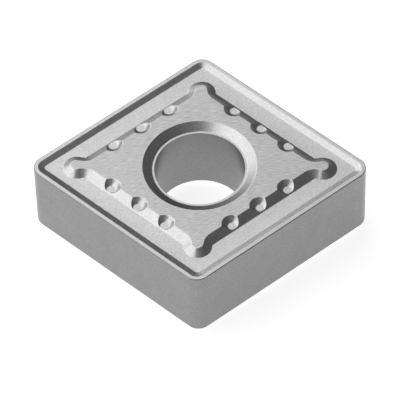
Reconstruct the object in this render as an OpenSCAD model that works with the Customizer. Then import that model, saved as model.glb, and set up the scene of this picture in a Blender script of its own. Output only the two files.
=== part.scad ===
// Double-sided 80 degree rhombic turning insert of sintered cermet, pressed in one piece.
// Both faces carry the same relief: a flat land behind the cutting edge, a sloped rake face,
// a groove, and a raised seat with a tongue at each corner and round pockets along its walls.
// X runs through the two acute corners and Y through the two obtuse ones. The origin is on
// the bore's axis, in the plane of the lower seat.

/* [Insert] */
// Diameter of the circle inscribed in the cutting edges
inscribed_d = 12.7; // [12:0.1:14]
// Height of a cutting edge above the opposite seat
thickness = 4.76; // [3.96:0.02:6.36]
// Angle between the edges at the two acute corners
corner_angle = 80; // [78:1:84]
// Radius of the four corners
nose_r = 0.8; // [0.7:0.05:1.2]
// Diameter of the bore for the clamping pin
bore_d = 5.16; // [4.4:0.02:5.3]

/* [Cutting edge] */
// Width of the flat land behind the cutting edge
land_w = 0.25; // [0.15:0.01:0.35]
// Slope of the rake face behind the land
rake_angle = 17; // [13:1:25]
// Depth of the groove floor below the cutting edge
groove_depth = 0.11; // [0.08:0.01:0.14]

/* [Seat] */
// Height of the seat above the cutting edge
seat_rise = 0.18; // [0.1:0.01:0.25]
// Distance from the cutting edge to the straight edge of the seat
seat_margin = 2.14; // [2:0.02:2.3]
// Slope of the straight wall between groove floor and seat
wall_angle = 29; // [25:0.5:40]
// Radius of the round tongue that points at each corner
tongue_r = 0.34; // [0.28:0.01:0.42]
// Distance from the tip of a corner to the tip of its tongue
tongue_margin = 2.1; // [2:0.02:2.3]
// Slope of the tongue's wall
tongue_angle = 33; // [28:1:45]
// Radius of the hollow between tongue and straight wall
hollow_r = 1; // [0.85:0.05:1.2]

/* [Pockets] */
// Number of round pockets along each wall
pocket_count = 3; // [1:1:3]
// Distance between neighbouring pockets
pocket_pitch = 2.02; // [1.4:0.02:2.2]
// Shift of the row of pockets towards the acute corner
pocket_shift = 0.79; // [0.5:0.01:1]
// Distance from the foot of the wall to the centre of a pocket
pocket_inset = 0.27; // [0.2:0.01:0.34]
// Diameter of the flat bottom of a pocket
pocket_d = 0.4; // [0.3:0.02:0.5]
// Radius of the hollow ball of a pocket's wall
pocket_ball_r = 0.63; // [0.58:0.01:0.66]
// Height of a pocket's bottom above the groove floor
pocket_rise = 0.015; // [0.01:0.005:0.03]

/* [Countersink] */
// Diameter of the countersink in the plane of the seat
sink_d = 6.48; // [6.2:0.02:6.8]
// Slope of the countersink
sink_angle = 31; // [25:1:40]
// Width of the level ledge between countersink and bore
ledge_w = 0.14; // [0.08:0.01:0.2]

/* [Hidden] */

$fn = 96;

bore_r = bore_d / 2;
sink_r = sink_d / 2;
pocket_r = pocket_d / 2;

// Heights, counted from the middle plane of the insert
edge_z = (thickness - seat_rise) / 2;
seat_z = edge_z + seat_rise;
floor_z = edge_z - groove_depth;

// Length by which cutters and joined solids reach past the faces they meet
overlap = 0.05;
// The same where the slopes leave little room
skim = 0.01;
// Amount by which a rounding crosses the faces it blends, instead of only touching them
flush = 0.001;
// Angle by which the filling of a groove corner stays clear of the rake faces beside it
slack = 1.5;
// Reach of that filling from the centre of the nose, in nose radii, beside and on the corner's axis
fill_side = 1.2;
fill_tip = 2;

root_z = floor_z - overlap;
foot_run = (seat_z - floor_z) / tan(wall_angle);

inradius = inscribed_d / 2;
seat_offset = inradius - seat_margin;
pocket_offset = seat_offset + foot_run - pocket_inset;
pocket_z = floor_z + pocket_rise;
// Height of the ball's centre above the pocket's bottom
ball_lift = sqrt(pocket_ball_r ^ 2 - pocket_r ^ 2);
tongue_to_hollow = tongue_r + hollow_r;
bar_l = 4 * inscribed_d;

function unit(angle) = [cos(angle), sin(angle)];

// Corners are numbered anticlockwise from +X, so the even ones are acute.
// Side k runs from corner k to corner k + 1.
function corner_axis(k) = 90 * k;
function half_corner(k) = k % 2 == 0 ? corner_angle / 2 : 90 - corner_angle / 2;
// Angle from a corner's axis to the direction in which its sides face
function facing(k) = 90 - half_corner(k);
function side_angle(k) = corner_axis(k) + facing(k);
// Distances from the bore's axis to the centres of the nose and of the tongue
function nose_distance(k) = (inradius - nose_r) / sin(half_corner(k));
function tongue_distance(k) = nose_distance(k) + nose_r - tongue_margin - tongue_r;

// Angle at the tongue's centre from the corner's axis to the centre of a hollow,
// which touches both the tongue and the straight wall
function hollow_bearing(k) = facing(k)
    + acos((seat_offset + hollow_r - tongue_distance(k) * cos(facing(k))) / tongue_to_hollow);
function hollow_centre(k, side) = tongue_to_hollow * unit(side * hollow_bearing(k));
// Distance behind the tongue's centre where the hollow's end lines meet on the corner's axis
function web_length(k) = tongue_to_hollow * sin(hollow_bearing(k) - facing(k)) / sin(facing(k));

// Distance of the rake face inwards from the cutting edge, at a height
function rake_inset(z) = land_w + (edge_z - z) / tan(rake_angle);
// Distances of the walls outwards from the edges of the seat, at a height
function wall_run(z) = (seat_z - z) / tan(wall_angle);
function tongue_run(z) = (seat_z - z) / tan(tongue_angle);

// Section of the countersunk bore, outwards from its axis
ledge_r = bore_r + ledge_w;
ledge_z = seat_z - (sink_r - ledge_r) * tan(sink_angle);
upper_section = [
    [bore_r, ledge_z],
    [ledge_r, ledge_z],
    [sink_r + overlap / tan(sink_angle), seat_z + overlap],
    [0, seat_z + overlap]
];
bore_section = concat(upper_section, [for (i = [len(upper_section) - 1:-1:0])
    [upper_section[i][0], -upper_section[i][1]]]);

// Repeats its children on the lower face
module both_faces() {
    children();
    mirror([0, 0, 1]) children();
}

// Moves its children to a point on the axis of corner k
module at_corner(k, distance) {
    rotate([0, 0, corner_axis(k)]) translate([distance, 0, 0]) children();
}

// Level-ended cone from one height to another, whose radius is given at both
module cone(low_z, low_r, high_z, high_r) {
    translate([0, 0, low_z]) cylinder(h = high_z - low_z, r1 = low_r, r2 = high_r);
}

// Rhombic solid with sloped sides, from its half widths at two heights
module rhombus(low_z, low_half, high_z, high_half) {
    intersection_for(k = [0, 1])
        rotate([0, 0, side_angle(k)])
            rotate([90, 0, 0])
                linear_extrude(bar_l, center = true)
                    polygon([
                        [-low_half, low_z],
                        [low_half, low_z],
                        [high_half, high_z],
                        [-high_half, high_z]
                    ]);
}

// Straight-flanked body with its four round corners, up to both rims
module blank() {
    color("DimGray")
        linear_extrude(2 * edge_z, center = true) {
            polygon([
                for (k = [0:3]) for (side = [-1, 1])
                    nose_distance(k) * unit(corner_axis(k))
                    + nose_r * unit(corner_axis(k) + side * facing(k))
            ]);
            for (k = [0:3]) translate(nose_distance(k) * unit(corner_axis(k))) circle(nose_r + flush);
        }
}

// What stays of the rake face round nose k, outside the groove's round corner
module corner_fill(k) {
    low_z = floor_z - skim;
    high_z = edge_z + overlap + skim;
    at_corner(k, nose_distance(k))
        difference() {
            translate([0, 0, low_z])
                linear_extrude(high_z - low_z)
                    polygon([
                        [0, 0],
                        fill_side * nose_r * unit(slack - facing(k)),
                        [fill_tip * nose_r, 0],
                        fill_side * nose_r * unit(facing(k) - slack)
                    ]);
            cone(low_z - skim, nose_r + flush - rake_inset(low_z - skim),
                high_z + skim, nose_r + flush - rake_inset(high_z + skim));
        }
}

// Everything above the rake faces and the groove floor of the upper face
module groove() {
    high_z = edge_z + overlap;
    color("Gray")
        difference() {
            rhombus(floor_z, inradius - rake_inset(floor_z), high_z, inradius - rake_inset(high_z));
            for (k = [0:3]) corner_fill(k);
        }
}

// Tongue that points at corner k, with the hollows that lead from it to the straight walls
module tongue(k) {
    at_corner(k, tongue_distance(k)) {
        cone(root_z, tongue_r + tongue_run(root_z), seat_z, tongue_r);
        difference() {
            translate([0, 0, root_z])
                linear_extrude(seat_z - root_z)
                    polygon([[0, 0], hollow_centre(k, 1), [-web_length(k), 0], hollow_centre(k, -1)]);
            for (side = [-1, 1])
                translate(hollow_centre(k, side))
                    cone(root_z - overlap, hollow_r + flush - tongue_run(root_z - overlap),
                        seat_z + overlap, hollow_r + flush - tongue_run(seat_z + overlap));
        }
    }
}

// Raised seat of the upper face
module seat() {
    color("Gray") {
        rhombus(root_z, seat_offset + wall_run(root_z), seat_z, seat_offset);
        for (k = [0:3]) tongue(k);
    }
}

// Ball with a flat underside, standing on the height of a pocket's bottom
module pocket() {
    color("DarkGray")
        difference() {
            translate([0, 0, ball_lift]) sphere(pocket_ball_r);
            translate([0, 0, -pocket_ball_r]) cylinder(h = pocket_ball_r, r = pocket_ball_r);
        }
}

// Round pockets of the upper face
module pockets() {
    for (k = [0:3]) {
        to_acute = k % 2 == 0 ? -1 : 1;
        rotate([0, 0, side_angle(k)])
            for (i = [0:pocket_count - 1]) {
                along = pocket_shift + pocket_pitch * (i - (pocket_count - 1) / 2);
                translate([pocket_offset, to_acute * along, pocket_z]) pocket();
            }
    }
}

// Bore with a ledge and a countersink at each end
module bore() {
    color("Silver") rotate_extrude() polygon(bore_section);
}

module insert() {
    translate([0, 0, seat_z])
        difference() {
            union() {
                difference() {
                    blank();
                    both_faces() groove();
                }
                both_faces() seat();
            }
            both_faces() pockets();
            bore();
        }
}

insert();
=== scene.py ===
import math

import bpy
import numpy as np
from mathutils import Matrix, Vector
from mathutils.geometry import delaunay_2d_cdt


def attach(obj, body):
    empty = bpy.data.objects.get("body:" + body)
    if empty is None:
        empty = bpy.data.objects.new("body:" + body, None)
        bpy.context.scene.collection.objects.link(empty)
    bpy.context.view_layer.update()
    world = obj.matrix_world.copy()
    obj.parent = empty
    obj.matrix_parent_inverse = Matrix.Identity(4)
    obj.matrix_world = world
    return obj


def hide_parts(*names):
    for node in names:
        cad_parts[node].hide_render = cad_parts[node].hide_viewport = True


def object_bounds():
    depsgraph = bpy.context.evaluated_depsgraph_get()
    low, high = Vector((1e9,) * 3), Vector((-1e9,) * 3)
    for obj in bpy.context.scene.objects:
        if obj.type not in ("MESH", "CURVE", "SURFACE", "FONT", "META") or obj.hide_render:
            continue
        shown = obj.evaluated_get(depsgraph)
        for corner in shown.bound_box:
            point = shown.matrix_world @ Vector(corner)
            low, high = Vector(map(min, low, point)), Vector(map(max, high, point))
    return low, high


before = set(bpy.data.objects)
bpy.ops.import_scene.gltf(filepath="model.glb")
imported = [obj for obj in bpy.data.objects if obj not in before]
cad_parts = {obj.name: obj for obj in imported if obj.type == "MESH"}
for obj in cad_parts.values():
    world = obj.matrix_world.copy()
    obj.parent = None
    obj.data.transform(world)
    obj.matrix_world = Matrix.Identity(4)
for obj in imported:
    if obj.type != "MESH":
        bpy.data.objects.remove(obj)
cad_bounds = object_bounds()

# Looks of a double-sided 80 degree rhombic turning insert of sintered cermet. A quarter of one
# face is meshed from the height of its relief, with vertices along every crease, and mirrored
# to make the rest. Lengths are in millimetres until a mesh, material, camera or lamp is made.
MM = 0.001

# Insert, as in the solid model
INRADIUS = 6.35
THICKNESS = 4.76
CORNER_ANGLE = 80.0
NOSE_R = 0.8
BORE_R = 2.58

# Cutting edge
LAND_W = 0.25
RAKE_ANGLE = 17.0
GROOVE_DEPTH = 0.11

# Seat
SEAT_RISE = 0.18
SEAT_MARGIN = 2.14
WALL_ANGLE = 29.0
TONGUE_R = 0.34
TONGUE_MARGIN = 2.1
TONGUE_ANGLE = 33.0
HOLLOW_R = 1.0

# Pockets
POCKET_PITCH = 2.02
POCKET_SHIFT = 0.79

# Countersink
SINK_R = 3.24
SINK_ANGLE = 31.0
LEDGE_W = 0.14

# What only the looks have: the honed edge, the bore's round lip, the softened creases and
# the groove's sag
HONE_R = 0.05
LIP_R = 0.01
SOFT = 0.03
FLOOR_SAG = 0.004

# Pockets as photographed, a few hundredths of a millimetre off the solid model's: distance of
# their centres from the foot of the wall, radius of the bottom and its height above the
# groove, radius of the ball, and the slope at which the ball's wall turns into a cone
POCKET_INSET = 0.31
POCKET_R = 0.26
POCKET_RISE = 0.035
POCKET_BALL_R = 0.6
POCKET_FLARE = 42.0

# Mesh density
NOSE_STEPS = 16
TONGUE_STEPS = 30
HOLLOW_STEPS = 12
STRAIGHT_STEP = 0.4
POCKET_STEPS = 44
CIRCLE_STEPS = 44
HONE_STEPS = 7
LIP_STEPS = 5
FLANK_STEPS = 5
GROOVE_STEPS = 7
SINK_STEPS = 5
# Places of the extra rows: across a crease as shares of SOFT, and between two creases
CREASE_SHARES = (-1.5, -1, -0.5, 0, 0.5, 1, 1.5)
SLOPE_SHARES = (0.25, 0.5, 0.75)
# Distances of the rows on the seat from its edge and from the countersink
SEAT_ROWS = (0.12, 0.25)
SINK_ROWS = (0.15, 0.35)
# Samples across the square over which the relief is averaged
SOFT_SAMPLES = 7
# Halvings that find a pocket's rim
RIM_HALVINGS = 30
# Least radius of a nose row, below which the row's corner is square
LEAST_NOSE_R = 0.02
# Lengths below which two points are one, and a point lies on the seat
WELD = 1e-4
ON_SEAT = 1e-6


# Functions of an angle in degrees
def tan(degrees):
    return math.tan(math.radians(degrees))


def sin(degrees):
    return math.sin(math.radians(degrees))


def cos(degrees):
    return math.cos(math.radians(degrees))


def unit(degrees):
    """Flat unit vectors at one or more angles from +X."""
    angle = np.radians(degrees)
    return np.stack([np.cos(angle), np.sin(angle)], axis=-1)


# Heights above the middle plane
EDGE_Z = (THICKNESS - SEAT_RISE) / 2
SEAT_Z = EDGE_Z + SEAT_RISE
FLOOR_Z = EDGE_Z - GROOVE_DEPTH

# Distances inwards from the cutting edge to the feet of the rake face and of the seat's wall,
# and how far the walls of the seat and of its tongues run outwards
RAKE_FOOT = LAND_W + GROOVE_DEPTH / tan(RAKE_ANGLE)
WALL_RUN = (SEAT_Z - FLOOR_Z) / tan(WALL_ANGLE)
TONGUE_RUN = (SEAT_Z - FLOOR_Z) / tan(TONGUE_ANGLE)
SEAT_OFFSET = INRADIUS - SEAT_MARGIN
WALL_FOOT = SEAT_MARGIN - WALL_RUN

# One quarter of a face is worked out, between the acute corner on +X (0) and the obtuse one
# on +Y (1). The side between them faces along NORMAL, and ALONG runs from corner 0 to 1.
AXIS = (0.0, 90.0)
HALF_CORNER = (CORNER_ANGLE / 2, 90 - CORNER_ANGLE / 2)
FACING = (90 - HALF_CORNER[0], 90 - HALF_CORNER[1])
SIDE_ANGLE = FACING[0]
NORMAL = unit(SIDE_ANGLE)
ALONG = unit(SIDE_ANGLE + 90)
# Turning direction from each corner towards the side, and the sign of ALONG away from it
TURN = (1, -1)

NOSE_CENTRE = [(INRADIUS - NOSE_R) / sin(HALF_CORNER[k]) * unit(AXIS[k]) for k in (0, 1)]
TONGUE_CENTRE = [
    NOSE_CENTRE[k] + (NOSE_R - TONGUE_MARGIN - TONGUE_R) * unit(AXIS[k]) for k in (0, 1)
]


def hollow_bearing(k):
    """Angle at the tongue's centre from the corner's axis to the centre of its hollow."""
    ahead = SEAT_OFFSET + HOLLOW_R - float(TONGUE_CENTRE[k] @ NORMAL)
    return FACING[k] + math.degrees(math.acos(ahead / (TONGUE_R + HOLLOW_R)))


BEARING = [hollow_bearing(k) for k in (0, 1)]
HOLLOW_CENTRE = [
    TONGUE_CENTRE[k] + (TONGUE_R + HOLLOW_R) * unit(AXIS[k] + TURN[k] * BEARING[k]) for k in (0, 1)
]
POCKET_CENTRES = [
    (SEAT_OFFSET + WALL_RUN - POCKET_INSET) * NORMAL - (POCKET_SHIFT + POCKET_PITCH * i) * ALONG
    for i in (-1, 0, 1)
]

# Height of a pocket's bottom, and of the ball's centre above it
POCKET_Z = FLOOR_Z + POCKET_RISE
BALL_LIFT = math.sqrt(POCKET_BALL_R ** 2 - POCKET_R ** 2)
# Radius and height above the bottom at which the cone starts, and its radius at the seat
FLARE_R = POCKET_BALL_R * sin(POCKET_FLARE)
FLARE_RISE = BALL_LIFT - POCKET_BALL_R * cos(POCKET_FLARE)
POCKET_MOUTH_R = FLARE_R + (SEAT_Z - POCKET_Z - FLARE_RISE) / tan(POCKET_FLARE)

# Level ledge between countersink and bore, and the radius at which the bore's lip starts
LEDGE_R = BORE_R + LEDGE_W
LEDGE_Z = SEAT_Z - (SINK_R - LEDGE_R) * tan(SINK_ANGLE)
LIP_START_R = BORE_R + LIP_R


def edge_inset(x, y):
    """Distance inwards from the cutting edge, for points of the quarter."""
    inset = INRADIUS - (x * NORMAL[0] + y * NORMAL[1])
    for k in (0, 1):
        dx, dy = x - NOSE_CENTRE[k][0], y - NOSE_CENTRE[k][1]
        round_nose = TURN[k] * (dx * ALONG[0] + dy * ALONG[1]) < 0
        inset = np.where(round_nose, NOSE_R - np.hypot(dx, dy), inset)
    return inset


def seat_height(x, y):
    """Height of the seat and its walls, carried on downwards without end."""
    outwards = x * NORMAL[0] + y * NORMAL[1] - SEAT_OFFSET
    height = SEAT_Z - outwards * tan(WALL_ANGLE)
    for k in (0, 1):
        (tx, ty), (hx, hy) = TONGUE_CENTRE[k], HOLLOW_CENTRE[k]
        tongue = SEAT_Z - (np.hypot(x - tx, y - ty) - TONGUE_R) * tan(TONGUE_ANGLE)
        hollow = SEAT_Z - (HOLLOW_R - np.hypot(x - hx, y - hy)) * tan(TONGUE_ANGLE)
        behind = TURN[k] * ((hx - tx) * (y - ty) - (hy - ty) * (x - tx)) > 0
        before = TURN[k] * ((x - hx) * ALONG[0] + (y - hy) * ALONG[1]) < 0
        height = np.maximum(height, np.where(behind & before, hollow, tongue))
    return np.minimum(height, SEAT_Z)


def face_height(x, y):
    """Height of the face before the pockets are cut."""
    x, y = np.abs(x), np.abs(y)
    inset = edge_inset(x, y)
    rake = EDGE_Z - np.maximum(inset - LAND_W, 0) * tan(RAKE_ANGLE)
    share = np.clip((inset - RAKE_FOOT) / (WALL_FOOT - RAKE_FOOT), 0, 1)
    floor = FLOOR_Z - FLOOR_SAG * 4 * share * (1 - share)
    height = np.maximum(np.maximum(rake, floor), seat_height(x, y))
    sink = SEAT_Z - (SINK_R - np.hypot(x, y)) * tan(SINK_ANGLE)
    return np.minimum(height, np.maximum(sink, LEDGE_Z))


def pocket_height(radius):
    """Height of a pocket's flat bottom, hollow ball and cone, at a distance from its centre."""
    within = np.minimum(radius, FLARE_R)
    ball = POCKET_Z + BALL_LIFT - np.sqrt(POCKET_BALL_R ** 2 - within ** 2)
    return np.maximum(ball + (radius - within) * tan(POCKET_FLARE), POCKET_Z)


def relief(x, y):
    """Height of the finished face, with sharp creases."""
    height = face_height(x, y)
    x, y = np.abs(x), np.abs(y)
    for px, py in POCKET_CENTRES:
        height = np.minimum(height, pocket_height(np.hypot(x - px, y - py)))
    return height


def softened(xy):
    """Heights and normals of the relief, averaged over a small square so that creases are round."""
    spread = np.linspace(-SOFT, SOFT, SOFT_SAMPLES)
    weight = np.full(SOFT_SAMPLES, 1 / (SOFT_SAMPLES - 1))
    weight[[0, -1]] /= 2
    x, y = xy[:, 0:1], xy[:, 1:2]
    height = sum(wa * wb * relief(x + a, y + b) for a, wa in zip(spread, weight)
                 for b, wb in zip(spread, weight))[:, 0]
    across, ahead = x + spread, y + spread
    slope_x = ((relief(x + SOFT, ahead) - relief(x - SOFT, ahead)) @ weight) / (2 * SOFT)
    slope_y = ((relief(across, y + SOFT) - relief(across, y - SOFT)) @ weight) / (2 * SOFT)
    normal = np.stack([-slope_x, -slope_y, np.ones_like(slope_x)], axis=1)
    return height, normal / np.linalg.norm(normal, axis=1, keepdims=True)


def spaced(start, end, step):
    """Points between two ends, both left out."""
    count = max(int(np.linalg.norm(end - start) / step), 1)
    share = np.arange(1, count)[:, None] / count
    return start + (end - start) * share


def arc(centre, radius, start, end, steps):
    """Points round a centre between two angles."""
    return centre + radius * unit(np.linspace(start, end, steps + 1))


def circle(steps):
    """Points round a whole circle of radius 1."""
    return unit(np.arange(steps) * 360 / steps)


def outline():
    """The cutting edge of the quarter, and the directions in which it faces."""
    arcs, facings = [], []
    for k, (start, end) in enumerate(((0, SIDE_ANGLE), (SIDE_ANGLE, 90))):
        angles = np.linspace(start, end, NOSE_STEPS + 1)
        arcs.append(NOSE_CENTRE[k] + NOSE_R * unit(angles))
        facings.append(unit(angles))
    straight = spaced(arcs[0][-1], arcs[1][0], STRAIGHT_STEP)
    points = np.concatenate([arcs[0], straight, arcs[1]])
    facing = np.concatenate([facings[0], np.tile(NORMAL, (len(straight), 1)), facings[1]])
    return points, facing


EDGE, EDGE_FACING = outline()


def edge_ring(inset):
    """Row in the quarter at a distance inwards from the cutting edge."""
    if inset < NOSE_R - LEAST_NOSE_R:
        return EDGE - inset * EDGE_FACING
    ends = [(INRADIUS - inset) / sin(HALF_CORNER[k]) * unit(AXIS[k]) for k in (0, 1)]
    return np.concatenate([ends[:1], spaced(ends[0], ends[1], STRAIGHT_STEP), ends[1:]])


def seat_ring(wall_run, tongue_run):
    """Outline of the seat in the quarter, moved outwards."""
    radius = HOLLOW_R - tongue_run
    meeting = math.degrees(math.acos(min((HOLLOW_R - wall_run) / radius, 1)))
    halves = []
    for k in (0, 1):
        to_hollow = AXIS[k] + TURN[k] * BEARING[k]
        to_wall = SIDE_ANGLE + 180 + TURN[k] * meeting
        from_tongue = to_hollow + 180 * (1 if k == 0 else -1)
        from_tongue += 360 * round((to_wall - from_tongue) / 360)
        halves.append(np.concatenate([
            arc(TONGUE_CENTRE[k], TONGUE_R + tongue_run, AXIS[k], to_hollow, TONGUE_STEPS),
            arc(HOLLOW_CENTRE[k], radius, from_tongue, to_wall, HOLLOW_STEPS)[1:],
        ]))
    straight = spaced(halves[0][-1], halves[1][-1], STRAIGHT_STEP)
    return np.concatenate([halves[0], straight, halves[1][::-1]])


def pocket_rings(centre):
    """Rings round a pocket's bottom and along the edge where its wall meets the face."""
    angles = np.arange(POCKET_STEPS) * 360 / POCKET_STEPS
    low = np.full(POCKET_STEPS, POCKET_R / 2)
    high = np.full(POCKET_STEPS, POCKET_MOUTH_R + 2 * SOFT)
    for _ in range(RIM_HALVINGS):
        middle = (low + high) / 2
        x, y = (centre + middle[:, None] * unit(angles)).T
        inside = face_height(x, y) > pocket_height(middle)
        low, high = np.where(inside, middle, low), np.where(inside, high, middle)
    radii = [POCKET_R + share * SOFT for share in CREASE_SHARES[1:-1]]
    radii += [low + share * SOFT for share in CREASE_SHARES[1:]]
    radii += [POCKET_R + (low - POCKET_R) * share for share in SLOPE_SHARES]
    radii += [POCKET_R / 2]
    return [centre + np.broadcast_to(r, low.shape)[:, None] * unit(angles) for r in radii]


def circle_ring(radius):
    """Row in the quarter round the bore's axis."""
    return radius * unit(np.linspace(0, 90, CIRCLE_STEPS + 1))


def face_patch():
    """Triangles of the quarter's relief, with vertices along every crease."""
    crease = [share * SOFT for share in CREASE_SHARES]
    groove = np.linspace(RAKE_FOOT, WALL_FOOT, GROOVE_STEPS + 1)[1:-1]
    rings = [edge_ring(HONE_R), edge_ring((LAND_W + RAKE_FOOT) / 2)]
    rings += [edge_ring(LAND_W + c) for c in crease]
    rings += [edge_ring(RAKE_FOOT + c) for c in crease]
    rings += [edge_ring(inset) for inset in groove]
    rings += [seat_ring(c, c) for c in crease]
    rings += [seat_ring(WALL_RUN + c, TONGUE_RUN + c) for c in crease]
    rings += [seat_ring(WALL_RUN * share, TONGUE_RUN * share) for share in SLOPE_SHARES]
    rings += [seat_ring(-c, -c) for c in SEAT_ROWS]
    rings += [circle_ring(SINK_R + c) for c in (*crease, *SINK_ROWS)]
    rings += [circle_ring(r) for r in np.linspace(LEDGE_R, SINK_R, SINK_STEPS + 1)[1:-1]]
    rings += [circle_ring(LEDGE_R + c) for c in crease] + [circle_ring(LIP_START_R)]
    points, edges = [], []

    def add(ring, closed):
        first = len(points)
        points.extend(ring)
        edges.extend((first + i, first + i + 1) for i in range(len(ring) - 1))
        if closed:
            edges.append((len(points) - 1, first))

    # The rows end exactly on the quarter's two borders.
    for ring in rings:
        ring[0][1] = 0.0
        ring[-1][0] = 0.0
        add(ring, False)
    for centre in POCKET_CENTRES:
        for ring in pocket_rings(centre):
            add(ring, True)
    for k in (0, 1):
        add(np.array([LIP_START_R * unit(AXIS[k]), edge_ring(HONE_R)[-k]]), False)
    points = [Vector(p) for p in points]
    flat, _, triangles, _, _, _ = delaunay_2d_cdt(points, edges, [], 0, WELD)
    flat = np.abs(np.array([tuple(p) for p in flat]))
    triangles = np.array(triangles)
    # Two kinds of triangles are left out: those that fill the bore, inside the chords of its
    # innermost row, and the empty ones whose corners all lie on the outermost row.
    middle = flat[triangles].mean(axis=1)
    step = 90 / CIRCLE_STEPS
    off_chord = np.degrees(np.arctan2(middle[:, 1], middle[:, 0])) % step - step / 2
    beyond = np.hypot(*middle.T) * np.cos(np.radians(off_chord)) > LIP_START_R * cos(step / 2)
    empty = (edge_inset(*flat.T)[triangles] < HONE_R + WELD).all(axis=1)
    height, normal = softened(flat)
    return np.column_stack([flat, height]), normal, triangles[beyond & ~empty]


def strip(rows, normals):
    """Triangles between rows of equally many points."""
    rows, normals = np.array(rows), np.array(normals)
    count, width = rows.shape[:2]
    triangles = []
    for i in range(count - 1):
        for j in range(width - 1):
            a, b = i * width + j, (i + 1) * width + j
            triangles += [(a, b, b + 1), (a, b + 1, a + 1)]
    return rows.reshape(-1, 3), normals.reshape(-1, 3), np.array(triangles)


def at_height(flat, z):
    """Flat points with a third coordinate."""
    return np.column_stack([flat, np.full(len(flat), z)])


def flank_patch():
    """Honed edge and upper half of the flank, from the land down to the middle plane."""
    rows, normals = [], []
    for lean in np.linspace(0, 90, HONE_STEPS + 1):
        inset = HONE_R * (1 - sin(lean))
        rows.append(at_height(EDGE - inset * EDGE_FACING, EDGE_Z - HONE_R * (1 - cos(lean))))
        normals.append(np.column_stack([EDGE_FACING * sin(lean), np.full(len(EDGE), cos(lean))]))
    for z in np.linspace(EDGE_Z - HONE_R, 0, FLANK_STEPS + 1)[1:]:
        rows.append(at_height(EDGE, z))
        normals.append(at_height(EDGE_FACING, 0))
    return strip(rows, normals)


def bore_patch():
    """Upper half of the bore, from the middle plane up to the lip at the ledge."""
    around = circle_ring(1)
    heights = np.linspace(0, LEDGE_Z - LIP_R, FLANK_STEPS + 1)[:-1]
    rows = [at_height(around * BORE_R, z) for z in heights]
    normals = [at_height(-around, 0)] * len(rows)
    for angle in np.linspace(180, 90, LIP_STEPS + 1):
        radius = LIP_START_R + LIP_R * cos(angle)
        rows.append(at_height(around * radius, LEDGE_Z - LIP_R * (1 - sin(angle))))
        normals.append(at_height(around * cos(angle), sin(angle)))
    return strip(rows[::-1], normals[::-1])


# Material slots of the insert's mesh: the sintered skin, the ground seats, and the flanks with
# the bore, which get a darker copy of the same cermet as painted shade on the sides and in the bore
SINTERED, GROUND, FLANK = range(3)


def full_insert():
    """Vertices, normals, triangles and slots of the whole insert, from its eight like parts."""
    patches = [(*face_patch(), SINTERED), (*flank_patch(), FLANK), (*bore_patch(), FLANK)]
    points, normals, triangles, slots = [], [], [], []
    first = 0
    for mirror in np.array(np.meshgrid([1, -1], [1, -1], [1, -1])).T.reshape(-1, 3):
        for patch_points, patch_normals, patch_triangles, slot in patches:
            points.append(patch_points * mirror)
            normals.append(patch_normals * mirror)
            order = slice(None) if mirror.prod() > 0 else slice(None, None, -1)
            triangles.append(patch_triangles[:, order] + first)
            on_seat = (patch_points[patch_triangles, 2] > SEAT_Z - ON_SEAT).all(axis=1)
            slots.append(np.where(on_seat, GROUND, slot))
            first += len(patch_points)
    points, normals = np.concatenate(points), np.concatenate(normals)
    triangles, slots = np.concatenate(triangles), np.concatenate(slots)
    _, kept, merged = np.unique(np.round(points / WELD), axis=0, return_index=True,
                                return_inverse=True)
    triangles = merged.reshape(-1)[triangles]
    # Triangles that the merging has closed are left out.
    a, b, c = triangles.T
    whole = (a != b) & (b != c) & (c != a)
    return points[kept], normals[kept], triangles[whole], slots[whole]


def build_insert():
    """The insert's mesh in the part's frame, kept to the box of the solid model."""
    points, normals, triangles, slots = full_insert()
    corners = points[triangles]
    facing = np.cross(corners[:, 1] - corners[:, 0], corners[:, 2] - corners[:, 0])
    wrong = (facing * normals[triangles].mean(axis=1)).sum(axis=1) < 0
    triangles[wrong] = triangles[wrong][:, ::-1]
    points[:, 2] += SEAT_Z
    low, high = np.array(cad_bounds) / MM
    points = points.clip(low, high)
    mesh = bpy.data.meshes.new("insert_body")
    mesh.from_pydata((points * MM).tolist(), [], triangles.tolist())
    mesh.polygons.foreach_set("use_smooth", np.ones(len(triangles), dtype=bool))
    mesh.polygons.foreach_set("material_index", slots.astype(np.int32))
    mesh.update()
    mesh.normals_split_custom_set_from_vertices(normals.tolist())
    body = bpy.data.objects.new("insert_body", mesh)
    bpy.context.scene.collection.objects.link(body)
    return body


def new_material(name):
    """Empty material with its node tree and output."""
    material = bpy.data.materials.new(name)
    material.use_nodes = True
    tree = material.node_tree
    tree.nodes.clear()
    output = tree.nodes.new("ShaderNodeOutputMaterial")
    return material, tree, output


def add_node(tree, kind, values=None, **settings):
    """New node with its settings, and with values or links for its inputs."""
    node = tree.nodes.new("ShaderNode" + kind)
    for name, value in settings.items():
        setattr(node, name, value)
    for name, value in (values or {}).items():
        if isinstance(value, bpy.types.NodeSocket):
            tree.links.new(value, node.inputs[name])
        else:
            node.inputs[name].default_value = value
    return node


def grey(value):
    return (value, value, value, 1.0)


def noise(tree, place, scale, detail, roughness):
    return add_node(tree, "TexNoise", {
        "Vector": place, "Scale": scale, "Detail": detail, "Roughness": roughness,
    }).outputs["Fac"]


def ramp(tree, fac, low, high, low_value, high_value):
    """Value that runs from one to another while the factor runs from low to high."""
    return add_node(tree, "MapRange", {
        "Value": fac, "From Min": low, "From Max": high, "To Min": low_value, "To Max": high_value,
    }).outputs["Result"]


def about(tree, fac, middle, spread):
    """Value that a noise moves up and down by the spread."""
    return ramp(tree, fac, NOISE_LOW, NOISE_HIGH, middle - spread, middle + spread)


# Part of the noises' range that is spread over a tone or a roughness
NOISE_LOW, NOISE_HIGH = 0.3, 0.7

# Soft blotches of every surface: their size, the detail and roughness of their noise, and
# their spread of tone
BLOTCH_SIZE = 1.1
BLOTCH_NOISE = (3.0, 0.6)
BLOTCH_TONE = 0.03
# Spread of a surface's roughness, with its grain or its lines
ROUGHNESS_SPREAD = 0.03

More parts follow.
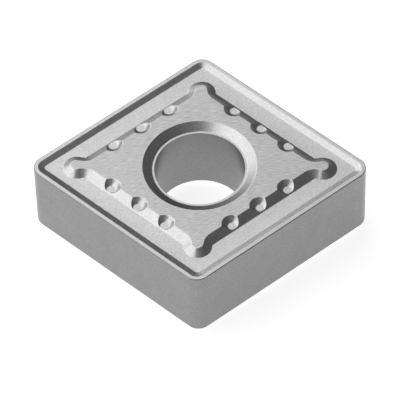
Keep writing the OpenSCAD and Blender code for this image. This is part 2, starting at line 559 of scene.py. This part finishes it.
# Grain of the pressed and sintered skin, and its height
GRAIN_SIZE = 0.085
GRAIN_NOISE = (2.0, 0.6)
GRAIN_HEIGHT = 0.006
GRAIN_TONE = 0.16

# Grinding lines of the seats: arcs round the axis of the wheel, their spacing, how long they
# are drawn out, and their height
WHEEL_X, WHEEL_Y = 5.5, -27.0
LINE_SPACING = 0.045
LINE_LENGTH = 0.45
LINE_NOISE = (1.0, 0.5)
LINE_HEIGHT = 0.001
LINE_TONE = 0.24


def along_arcs(tree, place):
    """Coordinates across and along the grinding arcs, in widths and lengths of a line."""
    wheel = (WHEEL_X * MM, WHEEL_Y * MM, 0.0)
    spoke = add_node(tree, "VectorMath", {0: place, 1: wheel}, operation="SUBTRACT").outputs[0]
    flat = add_node(tree, "VectorMath", {0: spoke, 1: (1.0, 1.0, 0.0)}, operation="MULTIPLY")
    radius = add_node(tree, "VectorMath", {0: flat.outputs[0]}, operation="LENGTH").outputs["Value"]
    parts = add_node(tree, "SeparateXYZ", {0: spoke}).outputs
    angle = add_node(tree, "Math", {0: parts["Y"], 1: parts["X"]}, operation="ARCTAN2").outputs[0]
    wheel_r = math.hypot(WHEEL_X, WHEEL_Y)
    across = add_node(tree, "Math", {0: radius, 1: 1 / (LINE_SPACING * MM)}, operation="MULTIPLY")
    along = add_node(tree, "Math", {0: angle, 1: wheel_r / LINE_LENGTH}, operation="MULTIPLY")
    return add_node(tree, "CombineXYZ", {
        "X": across.outputs[0], "Y": along.outputs[0],
    }).outputs[0]


def cermet(name, shade, roughness, ground=False):
    """Cermet with soft blotches and a fine grain, or with grinding lines instead of the grain."""
    material, tree, output = new_material(name)
    place = add_node(tree, "TexCoord").outputs["Object"]
    blotch = noise(tree, place, 1 / (BLOTCH_SIZE * MM), *BLOTCH_NOISE)
    if ground:
        texture = noise(tree, along_arcs(tree, place), 1.0, *LINE_NOISE)
        height, spread = LINE_HEIGHT, LINE_TONE
    else:
        texture = noise(tree, place, 1 / (GRAIN_SIZE * MM), *GRAIN_NOISE)
        height, spread = GRAIN_HEIGHT, GRAIN_TONE
    tone = add_node(tree, "Math", {
        0: about(tree, blotch, 1, BLOTCH_TONE), 1: about(tree, texture, 1, spread),
    }, operation="MULTIPLY").outputs[0]
    colour = add_node(tree, "VectorMath", {0: (shade, shade, shade)}, operation="SCALE")
    tree.links.new(tone, colour.inputs["Scale"])
    bump = add_node(tree, "Bump", {
        "Height": texture, "Strength": 1.0, "Distance": height * MM,
    }).outputs["Normal"]
    shader = add_node(tree, "BsdfPrincipled", {
        "Base Color": colour.outputs["Vector"],
        "Roughness": about(tree, texture, roughness, ROUGHNESS_SPREAD),
        "Metallic": 1.0,
        "Normal": bump,
    })
    tree.links.new(shader.outputs["BSDF"], output.inputs["Surface"])
    return material


# Camera, fitted to the outline of the photographed insert: azimuth from straight ahead,
# elevation and roll, distance, shift in its own plane, and focal length
AZIMUTH, ELEVATION, ROLL = 2.4338, 51.7214, -1.6724
DISTANCE = 222.7169
SHIFT_RIGHT, SHIFT_UP = -0.0652, 0.9854
FOCAL_PIXELS = 3858.6098
FRAME_PIXELS = 400
# Height that the upper cutting edge had in the fit
FITTED_EDGE_Z = 4.6134
SENSOR = 36
CLIP_START = 10


def add_camera():
    back = Vector((sin(AZIMUTH) * cos(ELEVATION), -cos(AZIMUTH) * cos(ELEVATION), sin(ELEVATION)))
    right = Vector((cos(AZIMUTH), sin(AZIMUTH), 0))
    up = back.cross(right)
    turned = Matrix.Rotation(math.radians(ROLL), 3, back)
    right, up = turned @ right, turned @ up
    centre = SHIFT_RIGHT * right + SHIFT_UP * up + DISTANCE * back
    centre.z += THICKNESS - FITTED_EDGE_Z
    data = bpy.data.cameras.new("camera")
    data.sensor_width = SENSOR
    data.lens = data.sensor_width * FOCAL_PIXELS / FRAME_PIXELS
    data.clip_start = CLIP_START * MM
    camera = bpy.data.objects.new("camera", data)
    turn = Matrix((right, up, back)).transposed().to_4x4()
    camera.matrix_world = Matrix.Translation(centre * MM) @ turn
    bpy.context.scene.collection.objects.link(camera)
    bpy.context.scene.camera = camera


def seen_by_eye(tree):
    """1 for rays that show the background: the camera's and mirrored or refracted ones."""
    path = add_node(tree, "LightPath")
    either = add_node(tree, "Math", {
        0: path.outputs["Is Camera Ray"], 1: path.outputs["Is Glossy Ray"],
    }, operation="MAXIMUM").outputs[0]
    return add_node(tree, "Math", {
        0: either, 1: path.outputs["Is Transmission Ray"],
    }, operation="MAXIMUM").outputs[0]


# Floor: a round sheet of paper just below the lower seat. The lamps light it, so that it
# keeps the shadow, and it glows for the rays that show the background: less near the insert,
# where the lamps add the rest, than at the far radius, where it is white by itself.
FLOOR_R = 1000
FLOOR_STEPS = 64
FLOOR_GAP = 0.02
PAPER_GREY = 0.52
GLOW_NEAR, GLOW_FAR = 0.82, 1.0
GLOW_START_R, GLOW_END_R = 120, 500
# Plain grey of the room around it
ROOM_GREY = 0.116


def add_floor():
    rim = at_height(circle(FLOOR_STEPS) * FLOOR_R, -FLOOR_GAP)
    mesh = bpy.data.meshes.new("floor")
    mesh.from_pydata((rim * MM).tolist(), [], [tuple(range(FLOOR_STEPS))])
    floor = bpy.data.objects.new("floor", mesh)
    bpy.context.scene.collection.objects.link(floor)
    material, tree, output = new_material("floor_white")
    place = add_node(tree, "TexCoord").outputs["Object"]
    radius = add_node(tree, "VectorMath", {0: place}, operation="LENGTH").outputs["Value"]
    level = ramp(tree, radius, GLOW_START_R * MM, GLOW_END_R * MM, GLOW_NEAR, GLOW_FAR)
    strength = add_node(tree, "Math", {0: level, 1: seen_by_eye(tree)}, operation="MULTIPLY")
    paper = add_node(tree, "BsdfDiffuse", {"Color": grey(PAPER_GREY)})
    glow = add_node(tree, "Emission", {"Color": grey(1.0), "Strength": strength.outputs[0]})
    both = add_node(tree, "AddShader")
    tree.links.new(paper.outputs[0], both.inputs[0])
    tree.links.new(glow.outputs[0], both.inputs[1])
    tree.links.new(both.outputs[0], output.inputs["Surface"])
    mesh.materials.append(material)


def add_world():
    world = bpy.data.worlds.new("studio")
    world.use_nodes = True
    tree = world.node_tree
    tree.nodes.clear()
    output = tree.nodes.new("ShaderNodeOutputWorld")
    room = add_node(tree, "Background", {"Color": grey(ROOM_GREY), "Strength": 1.0})
    tree.links.new(room.outputs[0], output.inputs["Surface"])
    bpy.context.scene.world = world


# Soft boxes at one distance from the seat: azimuth from +X and elevation in degrees, width
# and height in millimetres, and radiance
LAMP_DISTANCE = 900
LAMPS = {
    "key": (161, 49, 1850, 1200, 1.38),
    "fill": (262, 38, 1560, 1200, 0.09),
    "rim": (108, 10, 420, 320, 0.22),
}


def add_lamps():
    target = Vector((0, 0, SEAT_Z * MM))
    for name, (azimuth, elevation, width, height, radiance) in LAMPS.items():
        data = bpy.data.lights.new(name, "AREA")
        data.shape = "RECTANGLE"
        data.size, data.size_y = width * MM, height * MM
        data.energy = radiance * math.pi * data.size * data.size_y
        lamp = bpy.data.objects.new(name, data)
        towards = Vector((*unit(azimuth) * cos(elevation), sin(elevation)))
        lamp.location = target + towards * LAMP_DISTANCE * MM
        lamp.rotation_euler = towards.to_track_quat("Z", "Y").to_euler()
        lamp.visible_camera = False
        bpy.context.scene.collection.objects.link(lamp)


# Shade and roughness of the cermet in each slot of the mesh
CERMETS = {
    SINTERED: ("cermet_sintered", 0.58, 0.32),
    GROUND: ("cermet_ground", 0.495, 0.32),
    # Painted shade: the flanks and bore are the same cermet as the skin, given a much darker shade
    # for the dimmer light on them
    FLANK: ("cermet_flank", 0.275, 0.36),
}

insert = build_insert()
for slot, (name, shade, roughness) in sorted(CERMETS.items()):
    insert.data.materials.append(cermet(name, shade, roughness, ground=slot == GROUND))
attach(insert, "root")
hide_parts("insert")

add_camera()
add_floor()
add_world()
add_lamps()

bpy.context.scene.view_settings.view_transform = "Standard"
